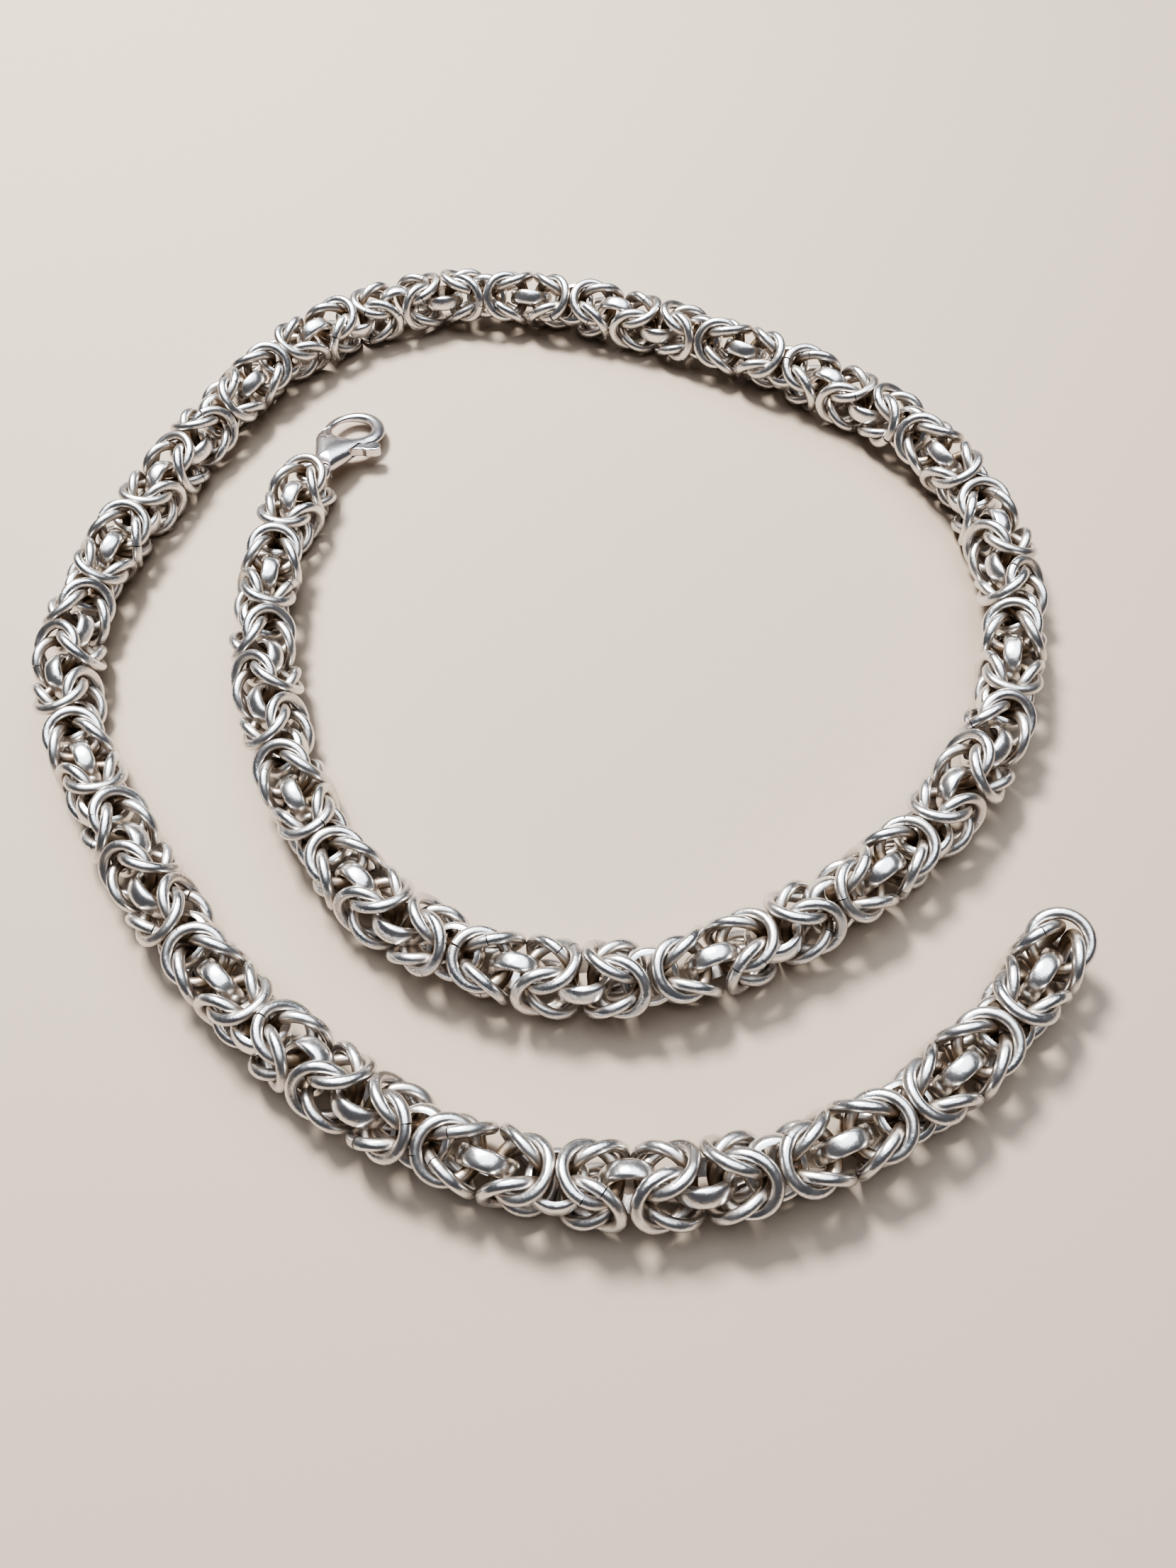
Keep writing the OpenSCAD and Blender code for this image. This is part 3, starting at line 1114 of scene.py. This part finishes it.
    def polish(
        self,
        node: str,
        body: str,
        forms: tuple[Mesh, ...],
        smoothing: int,
        finish: Material,
    ) -> None:
        """Makes the smooth piece that stands for a CAD piece.

        Args:
            node: The CAD node's name.
            body: The body that the piece rides on.
            forms: The forms that the piece is cut from.
            smoothing: Rounds of smoothing that take the edges off.
            finish: The piece's material.
        """
        shape = bmesh.new()
        for form in forms:
            shape.from_mesh(self.common(node, form))
        piece = shown(node + "_polished", finished(node + "_polished", shape))
        cells = piece.modifiers.new("skin", "REMESH")
        cells.mode = "VOXEL"
        cells.voxel_size = self.grain
        soft = piece.modifiers.new("edges", "SMOOTH")
        soft.factor = self.smoothing_share
        soft.iterations = smoothing
        made = applied(piece)
        piece.modifiers.clear()
        piece.data = made
        made.materials.clear()
        made.materials.append(finish)
        made.polygons.foreach_set("use_smooth", [True] * len(made.polygons))
        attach(piece, body)
        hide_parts(node)
        log.info("%s: %d faces", node, len(made.polygons))

    def build(self, finish: Material) -> None:
        """Makes the clasp's body with its eye, and its lever with its gate and tab.

        Args:
            finish: The material of both.
        """
        casting = self.soft_form()
        eye = self.block(self.eye_end, self.beyond)
        flat = self.block(self.beyond, self.flat_side)
        self.polish("clasp_body", "necklace", (casting, eye), self.body_smoothing, finish)
        self.polish("clasp_lever", "lever", (casting, flat), self.lever_smoothing, finish)


@dataclass(frozen=True)
class PhotoCamera:
    """The camera that took the photograph, as the chain's perspective gives it.

    Attributes:
        eye: Where the camera is.
        focal_pixels: Focal length in pixels of the photograph.
        frame_pixels: Width and height of the photograph.
        down_tilt: How far the camera looks below the horizon.
        roll: How far the camera is turned about its own line of sight.
        sensor: Width of its sensor in millimetres.
        sees_from: Nearest distance that it sees.
        sees_to: Farthest distance that it sees.
    """

    eye: Triple = (4.03 * MM, -86.3 * MM, 110.4 * MM)
    focal_pixels: float = 1650.0
    frame_pixels: tuple[int, int] = (1659, 2212)
    down_tilt: float = math.radians(58.51)
    roll: float = math.radians(5.18)
    sensor: float = 36.0
    sees_from: float = 5 * MM
    sees_to: float = 10.0

    def place(self) -> None:
        """Makes the camera and sets it up."""
        data = bpy.data.cameras.new("photo camera")
        data.sensor_fit = "AUTO"
        data.sensor_width = self.sensor
        data.lens = data.sensor_width * self.focal_pixels / max(self.frame_pixels)
        data.clip_start = self.sees_from
        data.clip_end = self.sees_to
        camera = shown("photo camera", data)
        ahead = Vector((0, math.cos(self.down_tilt), -math.sin(self.down_tilt)))
        level_down = Vector((0, -math.sin(self.down_tilt), -math.cos(self.down_tilt)))
        right = math.cos(self.roll) * Vector((1, 0, 0)) + math.sin(self.roll) * level_down
        up = right.cross(ahead)
        turn = Matrix((right, up, -ahead)).transposed().to_4x4()
        camera.matrix_world = Matrix.Translation(self.eye) @ turn
        bpy.context.scene.camera = camera


@dataclass(frozen=True)
class Light:
    """One light of the studio.

    Attributes:
        name: Its name.
        kind: Whether it hangs near or is far off.
        place: Where it hangs, or the direction that it comes from.
        breadth: Its width in metres, or in radians if it is far off.
        strength: Its power in watts, or in watts a square metre if it is far off.
        shade: Its colour.
    """

    name: str
    kind: LightKind
    place: Triple
    breadth: float
    strength: float
    shade: Triple

    def hang(self) -> None:
        """Makes the light and turns it to the necklace."""
        data = bpy.data.lights.new(self.name, self.kind.value)
        data.energy = self.strength
        data.color = self.shade
        if self.kind is LightKind.NEAR:
            data.shape = "SQUARE"
            data.size = self.breadth
        else:
            data.angle = self.breadth
        light = shown(self.name, data)
        light.location = self.place
        light.rotation_mode = "QUATERNION"
        light.rotation_quaternion = Vector(self.place).to_track_quat("Z", "Y")


WINDOW = Light(
    name="window",
    kind=LightKind.NEAR,
    place=(-0.12, 0.27, 0.44),
    breadth=0.12,
    strength=5.6,
    shade=(1.0, 0.99, 0.96),
)
SKYLIGHT = Light(
    name="skylight",
    kind=LightKind.FAR,
    place=(0.05, 0.16, 0.55),
    breadth=math.radians(76),
    strength=3.0,
    shade=(0.86, 0.93, 1.0),
)


@dataclass
class Studio:
    """A pale floor with a pale backdrop under two lights, in a dim room.

    Attributes:
        floor_size: Width of the floor.
        floor_shade: Colour of the floor.
        floor_roughness: How blurred its reflections are.
        room_shade: Colour of the light from all round.
        room_light: Strength of the light from all round.
        backdrop_shade: Colour behind the floor, that of the floor far off.
        contrast: The name of the picture's contrast.
    """

    floor_size: float = 40.0
    floor_shade: Triple = (0.38, 0.31, 0.25)
    floor_roughness: float = 0.75
    room_shade: Triple = (0.88, 0.90, 1.0)
    room_light: float = 0.10
    backdrop_shade: Triple = (0.33, 0.29, 0.25)
    contrast: str = "AgX - High Contrast"

    def floor(self) -> None:
        """Lays the floor at the height that the necklace rests on."""
        half = self.floor_size / 2
        mesh = bpy.data.meshes.new("floor")
        corners = [(-half, -half, 0), (half, -half, 0), (half, half, 0), (-half, half, 0)]
        mesh.from_pydata(corners, [], [(0, 1, 2, 3)])
        floor = shown("floor", mesh)
        paint = bpy.data.materials.new("pale floor")
        paint.use_nodes = True
        shader = paint.node_tree.nodes["Principled BSDF"]
        shader.inputs["Base Color"].default_value = (*self.floor_shade, 1.0)
        shader.inputs["Roughness"].default_value = self.floor_roughness
        mesh.materials.append(paint)

    def room(self) -> None:
        """Sets the even light from all round and the pale backdrop."""
        world = bpy.data.worlds.new("dim room")
        world.use_nodes = True
        graph = NodeGraph(world.node_tree)
        light = world.node_tree.nodes["Background"]
        graph.fill(light, {"Color": (*self.room_shade, 1.0), "Strength": self.room_light})
        backdrop = graph.add("ShaderNodeBackground", {"Color": (*self.backdrop_shade, 1.0)})
        path = graph.add("ShaderNodeLightPath")
        chosen = graph.add(
            "ShaderNodeMixShader",
            {0: path.outputs["Is Camera Ray"], 1: light.outputs[0], 2: backdrop.outputs[0]},
        )
        graph.fill(world.node_tree.nodes["World Output"], {"Surface": chosen.outputs[0]})
        bpy.context.scene.world = world
        bpy.context.scene.view_settings.look = self.contrast

    def build(self) -> None:
        """Lays the floor and hangs the lights."""
        self.floor()
        self.room()
        SKYLIGHT.hang()
        WINDOW.hang()


def main() -> None:
    """Builds the necklace's looks, the studio and the camera."""
    logging.basicConfig(level=logging.INFO, format="%(name)s: %(message)s")
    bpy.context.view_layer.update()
    chain = BraidChain()
    links = Settling(chain).settle(chain.nominal_links())
    finishes = {
        LinkKind.SMALL_RING: RING_SILVER.material(),
        LinkKind.JOINER: JOINER_SILVER.material(),
    }
    LinkMesher(chain).build(links, finishes)
    Clasp(chain).build(CLASP_SILVER.material())
    Studio().build()
    PhotoCamera().place()


if __name__ == "__main__":
    main()
